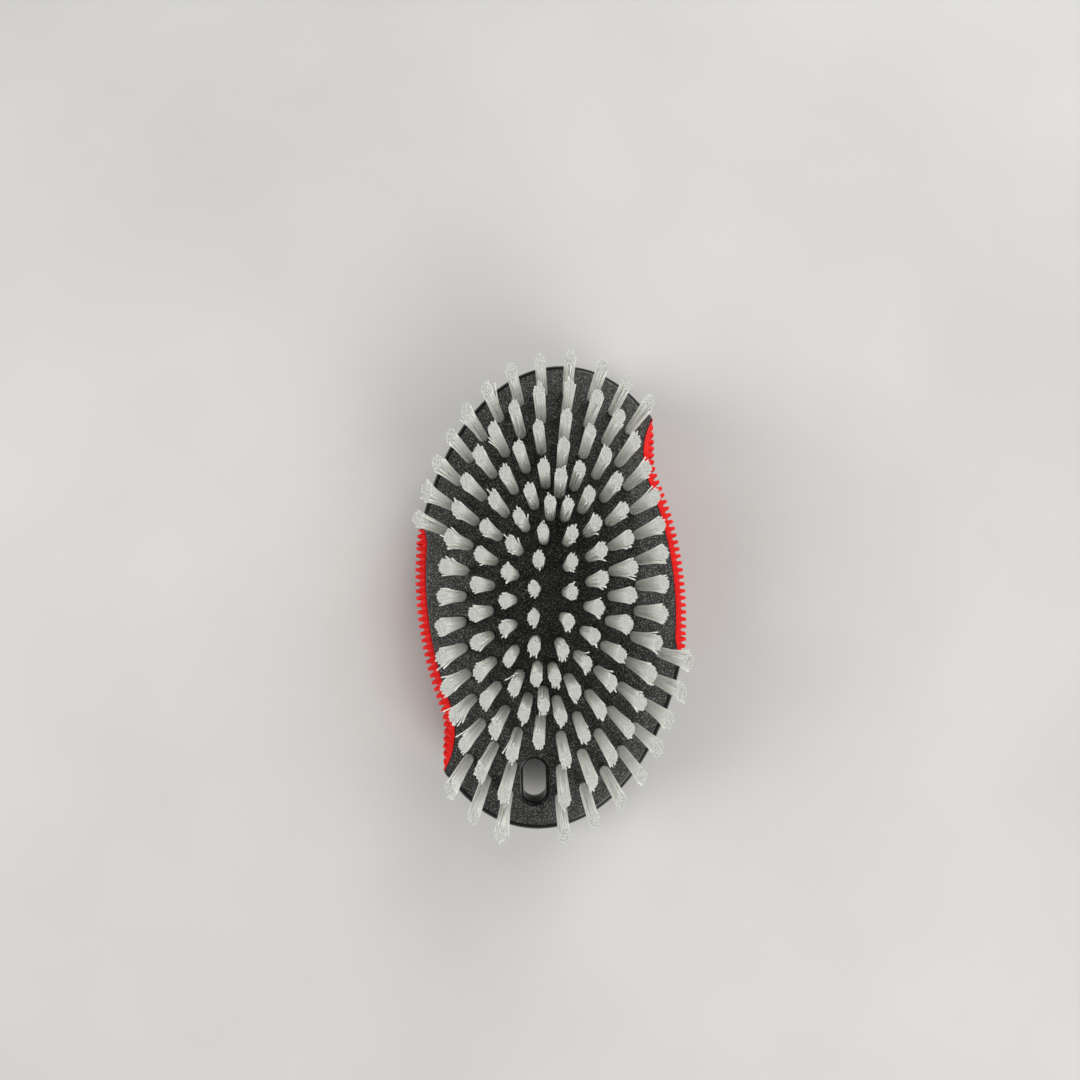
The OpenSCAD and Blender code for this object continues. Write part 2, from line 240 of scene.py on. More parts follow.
def body_outline():
    """The edge of the body as even closed loops in the leaning frame, sharp and softened,
    its length, and the arc lengths at which the grip recess on the +X side starts, has its
    corner and ends."""
    waist = np.array(WAIST_C)
    hollow = waist + (WAIST_R + HOLLOW_R) * np.array([math.cos(JOIN), math.sin(JOIN)])
    low_angle = math.asin((LOW_END - waist[1]) / WAIST_R)
    start = waist + WAIST_R * np.array([math.cos(low_angle), math.sin(low_angle)])
    corner = start + np.array(END_SLOPE)
    flat = lambda s: corner + s * np.array([FLAT_REACH, 0.0])
    ray = lambda a: np.array([math.cos(a), math.sin(a)])
    high_from, high_to = math.pi + JOIN, HOLLOW_TO
    high = lambda s: hollow + HOLLOW_R * ray(high_from + (high_to - high_from) * s)
    s_low, s_high = crossing(flat), crossing(high)
    t_of = lambda p: np.interp(np.arctan2(p[0], p[1]), RIM_POLAR, RIM_T)
    lower = oval(np.linspace(math.pi, t_of(flat(s_low)), OVAL_STEPS), EDGE)
    bend = np.array([flat(s) for s in np.linspace(s_low, 0, FLAT_STEPS)]
                    + [corner + s * (start - corner) for s in np.linspace(0, 1, SLOPE_STEPS)[1:]]
                    + [waist + WAIST_R * ray(a) for a in np.linspace(low_angle, JOIN, WAIST_STEPS)[1:]]
                    + [high(s) for s in np.linspace(0, s_high, HOLLOW_STEPS)[1:]])
    upper = oval(np.linspace(t_of(high(s_high)), 0, OVAL_STEPS), EDGE)
    half = np.vstack([lower[:-1], bend[:-1], upper[:-1]])
    loop, length = resample(np.vstack([half, -half]), FINE_POINTS)
    arc = lambda pts: np.hypot(*np.diff(pts, axis=0).T).sum()
    start_arc = arc(lower)
    soft = blur_loop(loop, CORNER_BLUR, length)
    return loop, soft, length, start_arc, start_arc + FLAT_REACH * s_low, start_arc + arc(bend)


SHARP, OUTLINE, OUTLINE_LENGTH, GRIP_FROM, GRIP_CORNER, GRIP_TO = body_outline()


def at_arc(s, loop):
    """Point and outward normal of an even closed loop at arc length s."""
    n = len(loop)
    step = OUTLINE_LENGTH / n
    def sample(q):
        f = (np.asarray(q) / step) % n
        i = np.floor(f).astype(int)
        w = (f - i)[..., None]
        return loop[i % n] * (1 - w) + loop[(i + 1) % n] * w
    p = sample(s)
    tangent = sample(np.asarray(s) + NORMAL_REACH) - sample(np.asarray(s) - NORMAL_REACH)
    tangent /= np.linalg.norm(tangent, axis=-1, keepdims=True)
    return p, np.stack([tangent[..., 1], -tangent[..., 0]], -1)


EVEN = np.arange(OUTLINE_POINTS) * OUTLINE_LENGTH / OUTLINE_POINTS
EDGE_P, EDGE_N = (lean(v) for v in at_arc(EVEN, OUTLINE))
INNER_P, INNER_N = (lean(v) for v in at_arc(EVEN, blur_loop(OUTLINE, INNER_BLUR, OUTLINE_LENGTH)))


def edge_ring(inset):
    """The edge of the body moved inwards, by one distance or by one for each point."""
    return EDGE_P - EDGE_N * np.reshape(inset, (-1, 1))


def rounding(full):
    """Rounding of the body's edge at each point of a ring: much less beside the grips."""
    s = EVEN % (OUTLINE_LENGTH / 2)
    far, near = RIM_BLEND
    beside = fade(s, GRIP_FROM - far, GRIP_FROM - near) * fade(-s, -GRIP_TO - far, -GRIP_TO - near)
    return full + (GRIP_RIM - full) * beside


def stadium(grow, count=64):
    """The slot's outline, grown by grow all round."""
    r, half = SLOT_W / 2 + grow, (SLOT_L - SLOT_W) / 2
    a = (np.arange(count) + 0.5) * 2 * math.pi / count
    return np.stack([SLOT[0] + r * np.cos(a), SLOT[1] + r * np.sin(a) + half * np.sign(np.sin(a))], -1)


# ---------------------------------------------------------------- mesh building
class Shape:
    """Collects rings of points and the faces between them."""

    def __init__(self):
        self.verts, self.faces, self.count = [], [], 0

    def ring(self, xy, z):
        pts = np.column_stack([xy, np.broadcast_to(z, len(xy))]) if np.shape(xy)[1] == 2 else xy
        self.verts.append(np.asarray(pts, float))
        self.count += len(pts)
        return np.arange(self.count - len(pts), self.count)

    def bridge(self, a, b, flip=False):
        """Quads between two closed rings of one size."""
        a2, b2 = np.roll(a, -1), np.roll(b, -1)
        quads = np.stack([a, a2, b2, b], -1)
        self.faces += (quads[:, ::-1] if flip else quads).tolist()

    def fan(self, ring, flip=False):
        self.faces.append(list(ring[::-1] if flip else ring))

    def cap(self, rings, height, spacing, up=True):
        """Fills between closed rings, the first outside and the rest holes, with points of
        its own on the surface z = height(x, y)."""
        all_pts = np.vstack(self.verts)[:, :2]
        loops = [all_pts[r] for r in rings]
        inner = grid_points(loops, spacing)
        ids = np.concatenate([*rings, np.full(len(inner), -1)])
        pts = np.vstack([*loops, inner])
        edges, start = [], 0
        for r in rings:
            k = np.arange(len(r))
            edges += np.stack([start + k, start + (k + 1) % len(r)], -1).tolist()
            start += len(r)
        out = delaunay_2d_cdt([Vector(p) for p in pts], edges, [], 0, 1e-6)
        origin = np.array([o[0] if o else -1 for o in out[3]])
        made = self.ring(inner, height(inner[:, 0], inner[:, 1]))
        ids[start:] = made
        tris = np.array(out[2])
        xy = np.array([list(v) for v in out[0]])
        a, b, c = (xy[tris[:, k]] for k in range(3))
        area = (b[:, 0] - a[:, 0]) * (c[:, 1] - a[:, 1]) - (b[:, 1] - a[:, 1]) * (c[:, 0] - a[:, 0])
        tris[area < 0] = tris[area < 0][:, ::-1]
        keep = (np.abs(area) > 1e-9) & inside((a + b + c) / 3, loops)
        tris = ids[origin[tris[keep]]]
        self.faces += (tris if up else tris[:, ::-1]).tolist()

    def build(self, name, material, smooth_angle=38, slots=None):
        mesh = bpy.data.meshes.new(name)
        mesh.from_pydata((np.vstack(self.verts) * MM).tolist(), [], self.faces)
        if slots:
            mesh.polygons.foreach_set("material_index", slots)
        return finish_mesh(name, mesh, material, smooth_angle)


def inside(points, loops):
    """Even-odd test of points against a set of closed loops."""
    hit = np.zeros(len(points), bool)
    for loop in loops:
        nxt = np.roll(loop, -1, 0)
        lo, hi = loop.min(0) - 1e-9, loop.max(0) + 1e-9
        near = np.where((points >= lo).all(1) & (points <= hi).all(1))[0]
        for part in np.array_split(near, 1 + len(near) // POINTS_AT_ONCE):
            p = points[part]
            above = (loop[None, :, 1] > p[:, None, 1]) != (nxt[None, :, 1] > p[:, None, 1])
            rise = np.where(nxt[:, 1] == loop[:, 1], 1e-12, nxt[:, 1] - loop[:, 1])
            cross = loop[:, 0] + (nxt[:, 0] - loop[:, 0]) * (p[:, None, 1] - loop[:, 1]) / rise
            hit[part] ^= (above & (p[:, None, 0] < cross)).sum(1) % 2 == 1
    return hit


def grid_points(loops, spacing):
    """Even triangular grid inside the loops, kept a little clear of every loop."""
    lo, hi = loops[0].min(0), loops[0].max(0)
    rows = np.arange(lo[1], hi[1], spacing * TRIANGLE_ROW)
    pts = []
    for k, y in enumerate(rows):
        xs = np.arange(lo[0] + (k % 2) * spacing / 2, hi[0], spacing)
        pts.append(np.stack([xs, np.full(len(xs), y)], -1))
    pts = np.vstack(pts)
    pts = pts[inside(pts, loops)]
    edge = np.vstack(loops)
    keep = np.ones(len(pts), bool)
    for part in np.array_split(np.arange(len(pts)), 1 + len(pts) // POINTS_AT_ONCE):
        d = np.linalg.norm(pts[part][:, None] - edge[None], axis=-1).min(1)
        keep[part] = d > spacing * 0.5
    return pts[keep]


def finish_mesh(name, mesh, materials, smooth_angle):
    materials = materials if isinstance(materials, (list, tuple)) else [materials]
    for m in materials:
        mesh.materials.append(m)
    work = bmesh.new()
    work.from_mesh(mesh)
    bmesh.ops.recalc_face_normals(work, faces=work.faces)
    limit = math.radians(smooth_angle)
    for f in work.faces:
        f.smooth = True
    for e in work.edges:
        e.smooth = len(e.link_faces) == 2 and e.calc_face_angle(0) < limit
    work.to_mesh(mesh)
    work.free()
    obj = bpy.data.objects.new(name, mesh)
    bpy.context.scene.collection.objects.link(obj)
    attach(obj, "root")
    return obj


# ---------------------------------------------------------------- materials
def material(name, color, roughness, **sockets):
    mat = bpy.data.materials.new(name)
    mat.use_nodes = True
    shader = mat.node_tree.nodes["Principled BSDF"]
    shader.inputs["Base Color"].default_value = (*color, 1)
    shader.inputs["Roughness"].default_value = roughness
    for key, value in sockets.items():
        shader.inputs[key.replace("_", " ")].default_value = value
    return mat, mat.node_tree, shader


def add(tree, kind, **values):
    """Adds a node; names of its properties or inputs give their values."""
    node = tree.nodes.new(kind)
    for key, value in values.items():
        if hasattr(node, key):
            setattr(node, key, value)
        else:
            node.inputs[key.replace("_", " ")].default_value = value
    return node


def ramp(tree, source, stops):
    """Colour ramp driven by source; stops are (position, grey or colour)."""
    node = tree.nodes.new("ShaderNodeValToRGB")
    tree.links.new(source, node.inputs["Fac"])
    marks = node.color_ramp.elements
    while len(marks) < len(stops):
        marks.new(0.5)
    for mark, (place, value) in zip(marks, stops):
        mark.position = place
        mark.color = (*(value if isinstance(value, tuple) else (value,) * 3), 1)
    return node.outputs["Color"]


def bump(tree, shader, height, distance, strength=1.0, under=None):
    node = add(tree, "ShaderNodeBump", Strength=strength, Distance=distance)
    tree.links.new(height, node.inputs["Height"])
    if under is not None:
        tree.links.new(under, node.inputs["Normal"])
    tree.links.new(node.outputs["Normal"], shader.inputs["Normal"])
    return node.outputs["Normal"]


def place(tree):
    return tree.nodes.new("ShaderNodeTexCoord").outputs["Object"]


def noise(tree, scale, detail=2.0, rough=0.5, kind="ShaderNodeTexNoise"):
    node = add(tree, kind, Scale=scale, Detail=detail, Roughness=rough)
    tree.links.new(place(tree), node.inputs["Vector"])
    return node.outputs[0]


def grained_plastic(name, grain_scale, depth, fleck_and_glint):
    """Black moulded plastic with a spark-eroded grain and bright flecks in its base colour, partly the
    grain's own tone and partly painted glints.
    """
    mat, tree, shader = material(name, (0.012, 0.012, 0.011), 0.5, Specular_IOR_Level=0.25)
    fine = noise(tree, grain_scale, 2.0, 0.55)
    broad = noise(tree, 180, 2.0)
    # The bright end of this ramp makes the flecks: partly grain tone, partly painted glints off the
    # grain
    tone = ramp(tree, fine, [(0.40, (0.007, 0.007, 0.007)), (0.52, (0.018, 0.018, 0.016)),
                             (0.66, (fleck_and_glint, fleck_and_glint, fleck_and_glint * 0.95))])
    mix = add(tree, "ShaderNodeMix", data_type="RGBA", blend_type="MULTIPLY", Factor=1.0)
    tree.links.new(tone, mix.inputs[6])
    tree.links.new(ramp(tree, broad, [(0.3, 0.82), (0.7, 1.0)]), mix.inputs[7])
    tree.links.new(mix.outputs[2], shader.inputs["Base Color"])
    tree.links.new(ramp(tree, fine, [(0.35, 0.6), (0.65, 0.35)]), shader.inputs["Roughness"])
    bump(tree, shader, fine, depth)
    return mat


def smooth_plastic(name):
    """The same plastic where it isn't grained: rim, slot lip and walls."""
    mat, tree, shader = material(name, (0.006, 0.006, 0.006), 0.2, Specular_IOR_Level=0.28)
    haze = noise(tree, 900, 3.0)
    tree.links.new(ramp(tree, haze, [(0.3, 0.14), (0.7, 0.22)]), shader.inputs["Roughness"])
    tree.links.new(ramp(tree, haze, [(0.3, (0.004, 0.004, 0.004)), (0.7, (0.008, 0.008, 0.008))]),
                   shader.inputs["Base Color"])
    bump(tree, shader, haze, 0.00001)
    return mat


def red_rubber():
    mat, tree, shader = material("red_rubber", (0.7, 0.008, 0.007), 0.5, Specular_IOR_Level=0.2)
    tone = noise(tree, 260, 3.0)
    skin = noise(tree, 2600, 2.0)
    tree.links.new(ramp(tree, tone, [(0.3, (0.66, 0.007, 0.006)), (0.7, (0.77, 0.010, 0.008))]),
                   shader.inputs["Base Color"])
    tree.links.new(ramp(tree, skin, [(0.3, 0.42), (0.7, 0.58)]), shader.inputs["Roughness"])
    bump(tree, shader, skin, 0.00002)
    return mat


def nylon():
    mat, tree, shader = material("nylon", (0.86, 0.87, 0.82), 0.4, Subsurface_Weight=0.6,
                                 Subsurface_Scale=0.0015, Specular_IOR_Level=0.4)
    shader.inputs["Subsurface Radius"].default_value = (1.0, 1.0, 0.95)
    tone = noise(tree, 700, 2.0)
    tree.links.new(ramp(tree, tone, [(0.3, (0.86, 0.87, 0.81)), (0.7, (0.95, 0.96, 0.91))]),
                   shader.inputs["Base Color"])
    return mat


# Cut ends of the filaments: the same nylon painted darker, painted shade that tones down how bright
# the lights make them
def nylon_tip_painted_shade():
    mat, tree, shader = material("nylon_tip_painted_shade", (0.5, 0.5, 0.48), 0.6, Specular_IOR_Level=0.3)
    tone = noise(tree, 1800, 2.0)
    tree.links.new(ramp(tree, tone, [(0.3, (0.44, 0.445, 0.425)), (0.7, (0.55, 0.555, 0.54))]),
                   shader.inputs["Base Color"])
    return mat


def steel():
    mat, tree, shader = material("drawn_steel", (0.6, 0.6, 0.6), 0.3, Metallic=1.0)
    drawn = noise(tree, 1500, 2.0)
    tree.links.new(ramp(tree, drawn, [(0.3, 0.24), (0.7, 0.42)]), shader.inputs["Roughness"])
    return mat


GRAIN = grained_plastic("plate_grain_and_glints", 3000, 0.0001, 0.15)
SMOOTH = smooth_plastic("smooth_black")
SATIN = grained_plastic("shell_grain_and_glints", 2600, 0.00003, 0.05)
RUBBER = red_rubber()
NYLON, SHADED_TIP = nylon(), nylon_tip_painted_shade()
STEEL = steel()


# ---------------------------------------------------------------- tuft places
def ring_places(name):
    """Places of one ring, as {half: [(x, y), ...]}, in the row frame."""
    length, width, full, half_count = RINGS[name]
    u = np.linspace(0, math.pi, RING_POINTS)
    curve = np.stack([width * np.sin(u) ** (2 * full), length * np.cos(u)], -1)
    s = np.r_[0, np.cumsum(np.hypot(*np.diff(curve, axis=0).T))]
    steps = range(LOBE_FIRST, LOBE_LAST + 1) if name == "a" else range(half_count)
    halves = {}
    for half, side in zip(("upper", "lower") if name == "a" else ("right", "left"), (1, -1)):
        spots = []
        for j in steps:
            if j == 0 and side < 0 and name in SLOTTED:
                continue
            v = np.interp(s[-1] * abs(j) / half_count, s, u)
            x = width * math.sin(v) ** (2 * full) * (-1 if j < 0 else 1)
            spots.append(side * lean((x, length * math.cos(v))))
        halves[half] = spots
    return halves


PLACES = {(name, half): spots for name in RINGS for half, spots in ring_places(name).items()}


# ---------------------------------------------------------------- body
def bristle_plate():
    """The domed face with its rounded rim, the slot and the tuft holes, closed at the seam."""
    shape = Shape()
    groove = shape.ring(edge_ring(SEAM_GROOVE), SEAM)
    rings = [shape.ring(edge_ring(0), SEAM + SEAM_GROOVE)]
    rim = rounding(RIM_ROUND)
    for a in QUARTER:
        xy = edge_ring(rim * (1 - math.cos(a)))
        rings.append(shape.ring(xy, face_z(*xy.T) - rim * (1 - math.sin(a))))
    shape.bridge(groove, rings[0])
    for low, high in zip(rings, rings[1:]):
        shape.bridge(low, high)
    # Slot: rounded lip, then a plain wall down to the seam
    lip = []
    for a in LIP_STEPS:
        xy = stadium(SLOT_LIP * (1 - math.cos(a)))
        lip.append(shape.ring(xy, face_z(*xy.T) - SLOT_LIP * (1 - math.sin(a))))
    foot = shape.ring(stadium(0), SEAM)
    for high, low in zip(lip, lip[1:] + [foot]):
        shape.bridge(low, high, flip=True)
    holes = []
    turn = np.arange(HOLE_SIDES) * 2 * math.pi / HOLE_SIDES
    circle = np.stack([np.cos(turn), np.sin(turn)], -1)
    for spot in (p for spots in PLACES.values() for p in spots):
        centre, axes = face_frame(*spot)
        def level(radius, depth):
            return centre + circle * radius @ axes[:, :2].T - axes[:, 2] * depth
        mouth = level(HOLE_R + HOLE_LIP, 0)
        mouth[:, 2] = face_z(mouth[:, 0], mouth[:, 1])
        levels = (mouth, level(HOLE_R, HOLE_LIP), level(HOLE_R, HOLE_DEPTH))
        rings_down = [shape.ring(p, None) for p in levels]
        for high, low in zip(rings_down, rings_down[1:]):
            shape.bridge(low, high, flip=True)
        shape.fan(rings_down[-1])
        holes.append(rings_down[0])
    # The rim, walls and slot lip are smooth; only the face is grained
    smooth = len(shape.faces)
    shape.cap([rings[-1], lip[0], *holes], face_z, FACE_GRID)
    slots = [1] * smooth + [0] * (len(shape.faces) - smooth)
    shape.cap([groove, foot], lambda x, y: np.full(len(x), SEAM), SEAM_GRID, up=False)
    slots += [1] * (len(shape.faces) - len(slots))
    return shape.build("plate", [GRAIN, SMOOTH], slots=slots)


def back_shell():
    """The domed back with its rounded rim, the slot and a hollow that is open at the seam."""
    shape = Shape()
    groove = shape.ring(edge_ring(SEAM_GROOVE), SEAM)
    rings = [groove, shape.ring(edge_ring(0), SEAM - SEAM_GROOVE)]
    rim = rounding(BACK_ROUND)
    for a in QUARTER:
        xy = edge_ring(rim * (1 - math.cos(a)))
        rings.append(shape.ring(xy, back_z(*xy.T) + rim * (1 - math.sin(a))))
    for high, low in zip(rings, rings[1:]):
        shape.bridge(low, high)
    # Slot, a little larger than the plate's, with a rounded lip on the back
    before = len(shape.faces)
    bore = [shape.ring(stadium(SLOT_RELIEF), SEAM)]
    for a in BACK_LIP_STEPS:
        xy = stadium(SLOT_RELIEF + SLOT_LIP * (1 - math.cos(a)))
        bore.append(shape.ring(xy, back_z(*xy.T) + SLOT_LIP * (1 - math.sin(a))))
    for high, low in zip(bore, bore[1:]):
        shape.bridge(high, low)
    slots = [0] * before + [1] * (len(shape.faces) - before)
    shape.cap([rings[-1], bore[-1]], back_z, BACK_GRID, up=False)
    # Hollow inside, with a sleeve round the slot; the hollow runs out towards the tips
    def hollow_z(x, y):
        return np.minimum(back_z(x, y, SHELL_WALL), SEAM - HOLLOW_LEAST)
    lip = shape.ring(INNER_P - INNER_N * SHELL_WALL, SEAM)
    inner_xy = INNER_P - INNER_N * (SHELL_WALL + HOLLOW_DRAFT)
    floor = shape.ring(inner_xy, hollow_z(*inner_xy.T))
    shape.bridge(lip, floor)
    sleeve_xy = stadium(SLOT_RELIEF + SLEEVE_WALL)
    sleeve_top = shape.ring(sleeve_xy, SEAM)
    sleeve_foot = shape.ring(sleeve_xy, hollow_z(*sleeve_xy.T))
    shape.bridge(sleeve_foot, sleeve_top)
    shape.cap([floor, sleeve_foot], hollow_z, HOLLOW_GRID)
    shape.bridge(lip, groove)
    shape.bridge(bore[0], sleeve_top)
    slots += [0] * (len(shape.faces) - len(slots))
    return shape.build("shell", [SATIN, SMOOTH], slots=slots)


# ---------------------------------------------------------------- grips
def grip_shares(s, p, n):
    """Along a grip: its width as a share of the whole, and how far the gaps between the
    ribs are filled further down. The width runs out at the upper end and keeps inside
    the oval."""
    reach = np.linspace(0, ROOM_REACH, ROOM_STEPS)
    out = outside(p[:, None] + n[:, None] * reach[None, :, None])
    room = np.array([np.interp(0, row, reach) for row in out])
    window = np.hanning(ROOM_BLUR)
    room = np.convolve(np.pad(room, ROOM_BLUR // 2, mode="edge"), window / window.sum(), "valid")
    ahead = np.clip((GRIP_TO - s) / TOP_RUN, 0, 1)
    share = np.minimum(1 - (1 - ahead) ** 2, room / GRIP_WHOLE)
    return np.clip(share, SHARE_LEAST, 1), fade(p[:, 1], *SKIRT_FROM)


def grip_path(samples):
    """Points along the recess and the directions across the grip, square to its low end."""
    s = np.linspace(GRIP_CORNER + GRIP_CLEAR_LOW, GRIP_TO - GRIP_CLEAR_HIGH, samples)
    p, n = at_arc(s, SHARP)
    square = 1 - fade(s, GRIP_CORNER, GRIP_CORNER + SQUARE_RUN)[:, None]
    n = n * (1 - square) + np.array([1.0, 0.0]) * square
    return s, p, n / np.linalg.norm(n, axis=1, keepdims=True)


def grip_section(p, n, share, wave, skirt):
    """Points round one section of a grip, from the inner edge of its top outwards and down.
    wave is 1 on a rib and 0 in a gap."""
    top = min(GRIP_TOP, float(face_z(*p)) - FACE_STEP)
    flat = GRIP_FLAT * share
    drop_scale = max(share, DROP_LEAST)
    points = [(-GRIP_SINK, top - GRIP_BEVEL), (GRIP_BEVEL, top), (max(flat, FLAT_LEAST), top)]
    for (rib_w, rib_z), (gap_w, gap_z) in zip(RIB_SHOULDER, GAP_SHOULDER):
        w = flat + (gap_w + (rib_w - gap_w) * wave) * share
        points.append((w, top - (gap_z + (rib_z - gap_z) * wave) * drop_scale))
    # Side, where the skirt fills the gaps between the ribs further down
    def side(fill):
        return (GRIP_GAP + (GRIP_WHOLE - GRIP_GAP) * max(wave, skirt * fill)) * share
    widest = side(1.0)
    low = float(back_z(*(p + n * widest))) + GRIP_LIFT
    knee = low + GRIP_KNEE
    drop = points[-1][1] - knee
    for f, fill in SKIRT_STEPS:
        points.append((side(fill), knee + drop * (1 - f)))
    round_by = min(GRIP_FOOT, widest * FOOT_SHARE)
    for a in FOOT_STEPS:
        points.append((widest - round_by * (1 - math.cos(a)), low + GRIP_FOOT * (1 - math.sin(a))))
    points.append((-GRIP_SINK, low))
    return np.array([(*(p + n * w), z) for w, z in points])


def grip(name, turn):
    """A ribbed crescent swept along the recess."""
    samples = int((GRIP_TO - GRIP_CORNER) / RIB_PITCH * RIB_SAMPLES)
    s, p, n = grip_path(samples)
    # The pitch is even where the ribs stand, outside the band
    ribbed = p + n * (GRIP_GAP + GRIP_WHOLE) / 2
    along = np.r_[0, np.cumsum(np.hypot(*np.diff(ribbed, axis=0).T))]
    wave = 0.5 + 0.5 * np.tanh(RIB_SQUARE * (np.cos(2 * math.pi * along / RIB_PITCH) + RIB_WIDER))
    share, skirt = grip_shares(s, p, n)
    p, n = lean(p), lean(n)
    shape = Shape()
    sections = [shape.ring(grip_section(p[k], n[k], share[k], wave[k], skirt[k]), None)
                for k in range(samples)]
    for a, b in zip(sections, sections[1:]):
        shape.bridge(a, b)
    shape.fan(sections[0], flip=True)
    shape.fan(sections[-1])
    if turn:
        shape.verts = [v * (-1, -1, 1) for v in shape.verts]
    return shape.build(name, RUBBER, smooth_angle=50)


# ---------------------------------------------------------------- tufts
FILAMENTS = 110
FIL_R = 0.125
FIL_SIDES = 6
FIL_STEPS = (0.0, 0.16, 0.45, 0.75, 1.0)
FIL_GROW = np.array([0.85, 0.9, 1.0, 1.12, 1.25])   # the cut ends are a little swollen
ROOT_R = 1.18                        # of the circle that the filaments' middles fill at the foot
TIP_R = 1.23                         # half width of that figure at the tip
TIP_STRETCH = 0.72                   # the tuft is folded over its anchor, so it fans out along Y
LENGTH_SPREAD = 0.09
# A solid core inside each bundle, so that no light shows between its filaments
CORE_SIDES = 20
CORE_SHARE = 0.9
CORE_DROP = 0.22                     # the core ends this far below the cut ends
GOLDEN = math.pi * (3 - math.sqrt(5))
# Random spreads of a whole tuft: lean of its tip, length and slant of its cut end
TUFT_LEAN, TUFT_LENGTHS, TUFT_SLANT = 0.13, 0.12, 0.14
WANDER, WANDER_AT_ENDS = 0.05, 2.2   # of one filament, and how much more at the fan's ends
FAN_END = 0.72                       # beyond this share of the fan filaments may stand out
LOOSE_LOW, LOOSE_HIGH = 0.3, 0.08    # how many of them do, at its lower and its upper end
STRAY = (0.2, 0.8)                   # and by how much
WILD_FROM, WILD_SHARE = 0.8, 0.04    # outer filaments that lie right out of a bundle, at the left
WILD_SPAN, WILD_BY = (0, -20), (0.5, 1.5)      # where that sets in along X, and by how much
CUT_SLANT = 0.25                     # spread of the slant of one filament's cut end
# Factors between which a tuft's flare, its fan and a filament's thickness are drawn at random
FLARE_BY, FAN_BY, THICK_BY = (0.95, 1.05), (0.75, 1.15), (0.9, 1.1)
UP_MOST = 1.2                        # filaments spread no further than at this share of the length
FIRST_SEED = 100
# Where use has pushed the tips aside: the spans over which it sets in along Y and along X,
# and how far it pushes there
SPLAY = (
    ((2, 18), (-22, -12), (-0.55, 0.0)),     # upper end, to the left
    ((-36, -47), (6, -3), (0.35, -1.75)),    # lower left, outwards
    ((-18, -32), (16, 26), (-1.1, 0.4)),     # right edge, to the left
)


def splay(x, y):
    """How far use has pushed a tuft's tip aside, along the face's own X and Y."""
    return sum(fade(y, *rise) * fade(x, *side) * np.array(push) for rise, side, push in SPLAY)


def tuft_lines(rng, spot):
    """Centre lines of one tuft's filaments and then the edge lines of its core, as an
    array (line, step, xyz), and the axes of the tuft."""
    centre, axes = face_frame(*spot)
    k = np.arange(FILAMENTS)
    r = np.sqrt((k + 0.5) / FILAMENTS)
    a = k * GOLDEN + rng.uniform(0, 2 * math.pi)
    turn = np.arange(CORE_SIDES) * 2 * math.pi / CORE_SIDES
    r, a = np.r_[r, np.full(CORE_SIDES, CORE_SHARE)], np.r_[a, turn]
    unit = np.stack([r * np.cos(a), r * np.sin(a)], -1)
    count = len(unit)
    loose_part = (np.arange(count) < FILAMENTS).astype(float)
    lean_by = splay(*spot) + rng.normal(0, TUFT_LEAN, 2)
    length = TUFT_LENGTH + rng.normal(0, TUFT_LENGTHS) + unit @ rng.normal(0, TUFT_SLANT, 2)
    length += np.where(loose_part > 0, rng.normal(0, LENGTH_SPREAD, count), -CORE_DROP)
    flare = TIP_R * rng.uniform(*FLARE_BY)
    stretch = TIP_STRETCH * rng.uniform(*FAN_BY) * unit[:, 1] ** 3
    outwards = 1 + WANDER_AT_ENDS * np.abs(unit[:, 1:]) ** 3
    wander = rng.normal(0, WANDER, (count, 2)) * outwards
    # A few filaments stand out at the ends of the fan, most of them at the lower end
    end = np.abs(unit[:, 1]) > FAN_END
    loose = end & (rng.random(count) < np.where(unit[:, 1] < 0, LOOSE_LOW, LOOSE_HIGH))
    stray = np.where(loose, np.sign(unit[:, 1]) * rng.uniform(*STRAY, count), 0)
    # On the left some lie right out of the bundle
    wild = (r > WILD_FROM) & (rng.random(count) < WILD_SHARE * fade(spot[0], *WILD_SPAN))
    burst = (wild * rng.uniform(*WILD_BY, count))[:, None] * unit
    lines = np.empty((count, len(FIL_STEPS), 3))
    for i, f in enumerate(FIL_STEPS):
        h = -TUFT_ROOT_DEPTH + f * (length + TUFT_ROOT_DEPTH)
        up = np.clip(h / TUFT_LENGTH, 0, UP_MOST)[:, None]
        free = (wander + burst) * loose_part[:, None] * up**2
        across = unit * (ROOT_R + (flare - ROOT_R) * up) + free + lean_by * up
        across[:, 1] += stretch * up[:, 0] ** 1.2 + stray * loose_part * up[:, 0] ** 3
        lines[:, i] = centre + across @ axes[:, :2].T + h[:, None] * axes[:, 2]
    return lines, axes


def filament_rings(rng, lines, axes):
    """Rings of points round every filament of a tuft, each cut at its own slight angle."""
    turn = np.arange(FIL_SIDES) * 2 * math.pi / FIL_SIDES + rng.uniform(0, 1, (len(lines), 1))
    around = np.stack([np.cos(turn), np.sin(turn)], -1)
    thick = FIL_R * rng.uniform(*THICK_BY, len(lines))
    offset = (around * thick[:, None, None]) @ axes[:, :2].T
    rings = lines[:, :, None] + offset[:, None] * FIL_GROW[:, None, None]
    tilt = (around @ rng.normal(0, CUT_SLANT, (len(lines), 2, 1)))[..., 0] * thick[:, None]
    rings[:, -1] += tilt[..., None] * axes[:, 2]
    return rings


